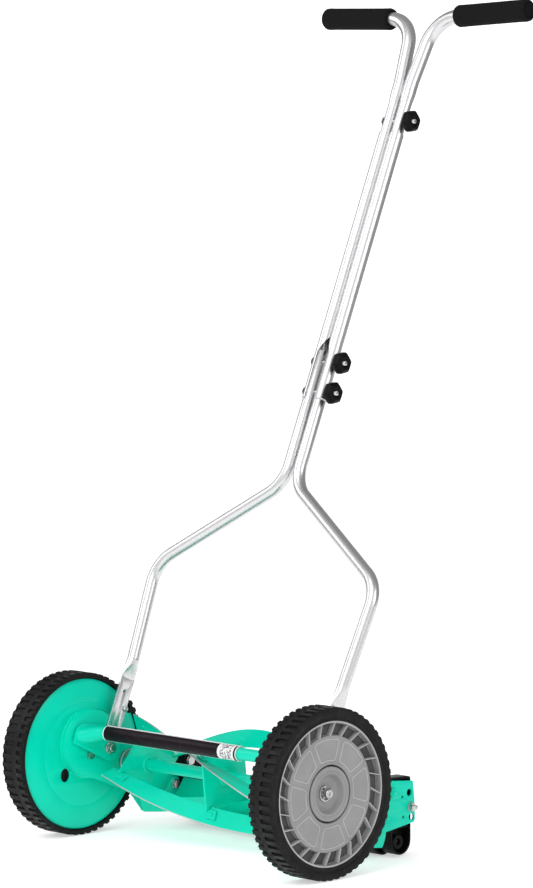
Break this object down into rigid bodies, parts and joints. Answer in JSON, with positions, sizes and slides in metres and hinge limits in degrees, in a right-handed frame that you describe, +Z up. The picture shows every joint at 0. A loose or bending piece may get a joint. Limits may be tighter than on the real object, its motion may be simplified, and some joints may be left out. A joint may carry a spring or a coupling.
{
  "type": "push reel mower",
  "caption": "Push reel lawn mower: geared wheels spin a helical-blade reel against a bedknife, with a rear roller and a bolted tube handle with foam grips.",
  "frame": {"origin": "on the ground, under the middle of the whole mower's bounding box", "axes": "+X along the reel and wheel axle to the right as seen from the front, +Z up, the mower's cutting front faces -Y and its handle leans to +Y"},
  "size_m": [0.5, 0.5574, 1.1035],
  "materials": {
    "teal_paint": "glossy teal enamel on steel",
    "zinc_tube": "bright zinc-plated steel tube",
    "zinc_bolt": "zinc-plated fasteners",
    "bare_steel": "machined steel",
    "tyre_rubber": "black rubber tread",
    "grey_plastic": "moulded grey plastic",
    "black_plastic": "moulded black plastic",
    "band_plastic": "glossy black band with pale edges",
    "grip_foam": "black closed-cell foam"
  },
  "bodies": {
    "frame": {"crossbar": "teal_paint", "crossbar_band": "band_plastic", "cutter_bar": "teal_paint", "bedknife": "bare_steel", "roller_rod": "bare_steel", "side_plate_left": "teal_paint", "side_plate_right": "teal_paint", "gear_cover_left": "teal_paint", "gear_cover_right": "teal_paint", "axle_bolt_left": "bare_steel", "axle_bolt_right": "bare_steel", "axle_clip_left": "zinc_bolt", "axle_clip_right": "zinc_bolt", "cutter_bolt_left": "zinc_bolt", "cutter_bolt_right": "zinc_bolt", "roller_bracket_left": "black_plastic", "roller_bracket_right": "black_plastic", "height_bolt_left": "zinc_bolt", "height_bolt_right": "zinc_bolt", "bracket_bolt_left": "zinc_bolt", "bracket_bolt_right": "zinc_bolt", "reel_bearing_left": "bare_steel", "reel_bearing_right": "bare_steel", "pivot_bolt_left": "zinc_bolt", "pivot_bolt_right": "zinc_bolt"},
    "wheel_left": {"wheel_left": "grey_plastic", "tyre_left": "tyre_rubber"},
    "wheel_right": {"wheel_right": "grey_plastic", "tyre_right": "tyre_rubber"},
    "reel": {"reel_shaft": "teal_paint", "spider_left": "teal_paint", "spider_middle": "teal_paint", "spider_right": "teal_paint", "blade_1": "teal_paint", "blade_2": "teal_paint", "blade_3": "teal_paint", "blade_4": "teal_paint", "pinion_left": "bare_steel", "pinion_right": "bare_steel", "pawl_left": "bare_steel", "pawl_right": "bare_steel"},
    "roller": {"roller": "black_plastic"},
    "handle": {"lower_tube_left": "zinc_tube", "lower_tube_right": "zinc_tube", "mid_tube_left": "zinc_tube", "mid_tube_right": "zinc_tube", "upper_tube_left": "zinc_tube", "upper_tube_right": "zinc_tube", "foot_bumper_left": "black_plastic", "foot_bumper_right": "black_plastic", "grip_left": "grip_foam", "grip_right": "grip_foam", "clamp_bolt_low": "zinc_bolt", "clamp_bolt_high": "zinc_bolt", "clamp_bolt_top": "zinc_bolt"},
    "knob_low": {"knob_low": "black_plastic"},
    "knob_high": {"knob_high": "black_plastic"},
    "knob_top": {"knob_top": "black_plastic"}
  },
  "joints": [
    {"name": "reel_spin", "type": "hinge", "parent": "frame", "child": "reel", "pos_m": [0, -0.10239, 0.09237], "axis": [1, 0, 0], "continuous": true},
    {"name": "wheel_left_spin", "type": "hinge", "parent": "frame", "child": "wheel_left", "pos_m": [-0.23, -0.17062, 0.108], "axis": [1, 0, 0], "continuous": true},
    {"name": "wheel_right_spin", "type": "hinge", "parent": "frame", "child": "wheel_right", "pos_m": [0.23, -0.17062, 0.108], "axis": [1, 0, 0], "continuous": true},
    {"name": "roller_spin", "type": "hinge", "parent": "frame", "child": "roller", "pos_m": [0, 0.00537, 0.02], "axis": [1, 0, 0], "continuous": true},
    {"name": "handle_tilt", "type": "hinge", "parent": "frame", "child": "handle", "pos_m": [0, -0.14213, 0.1159], "axis": [1, 0, 0], "range_deg": [-57, 22]},
    {"name": "knob_low_turn", "type": "hinge", "parent": "handle", "child": "knob_low", "pos_m": [0.03, 0.05466, 0.58749], "axis": [1, 0, 0], "continuous": true},
    {"name": "knob_high_turn", "type": "hinge", "parent": "handle", "child": "knob_high", "pos_m": [0.03, 0.07084, 0.62625], "axis": [1, 0, 0], "continuous": true},
    {"name": "knob_top_turn", "type": "hinge", "parent": "handle", "child": "knob_top", "pos_m": [0.03, 0.20369, 0.94464], "axis": [1, 0, 0], "continuous": true}
  ],
  "couplings": [
    {"joint": "wheel_left_spin", "follows": "reel_spin", "ratio": 0.16418},
    {"joint": "wheel_right_spin", "follows": "reel_spin", "ratio": 0.16418}
  ]
}
